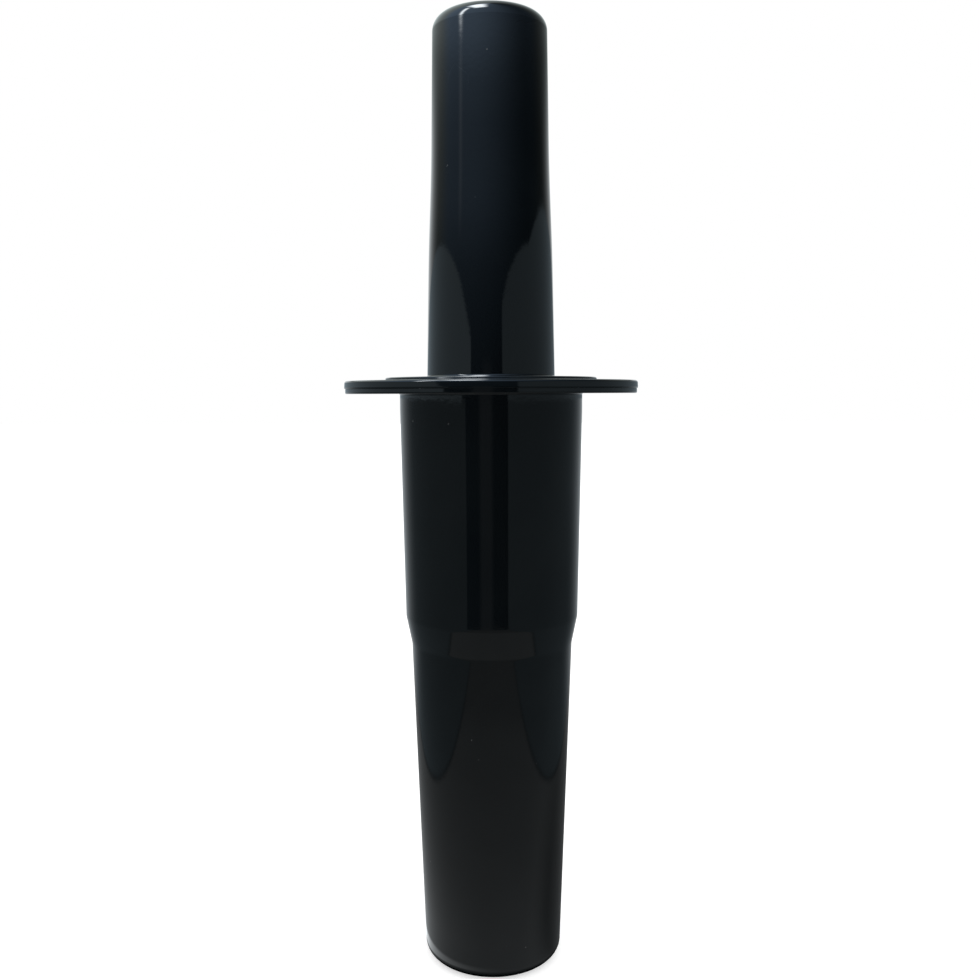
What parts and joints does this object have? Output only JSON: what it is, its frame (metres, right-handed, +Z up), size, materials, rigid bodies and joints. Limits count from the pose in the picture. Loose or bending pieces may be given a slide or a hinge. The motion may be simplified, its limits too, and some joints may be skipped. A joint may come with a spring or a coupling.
{
  "type": "blender tamper",
  "caption": "Gloss black blender tamper: a hollow tapered grip and a stepped hollow shaft, joined at a round splash disc with a raised land.",
  "frame": {"origin": "centre of the foot, on the surface that the tamper stands on", "axes": "+Z up the stick from its foot to the top of its grip; the shape is a turned one, so X and Y are any two square directions"},
  "size_m": [0.09, 0.09, 0.2912],
  "materials": {
    "handle_plastic": "polished black moulding",
    "shaft_plastic": "polished black moulding, lightly scuffed towards its foot",
    "weld_plastic": "melted and set black weld, dull"
  },
  "bodies": {
    "root": {"handle_shell": "handle_plastic", "shaft_shell": "shaft_plastic", "inner_weld_bead": "weld_plastic", "rim_weld_bead": "weld_plastic"}
  },
  "joints": []
}
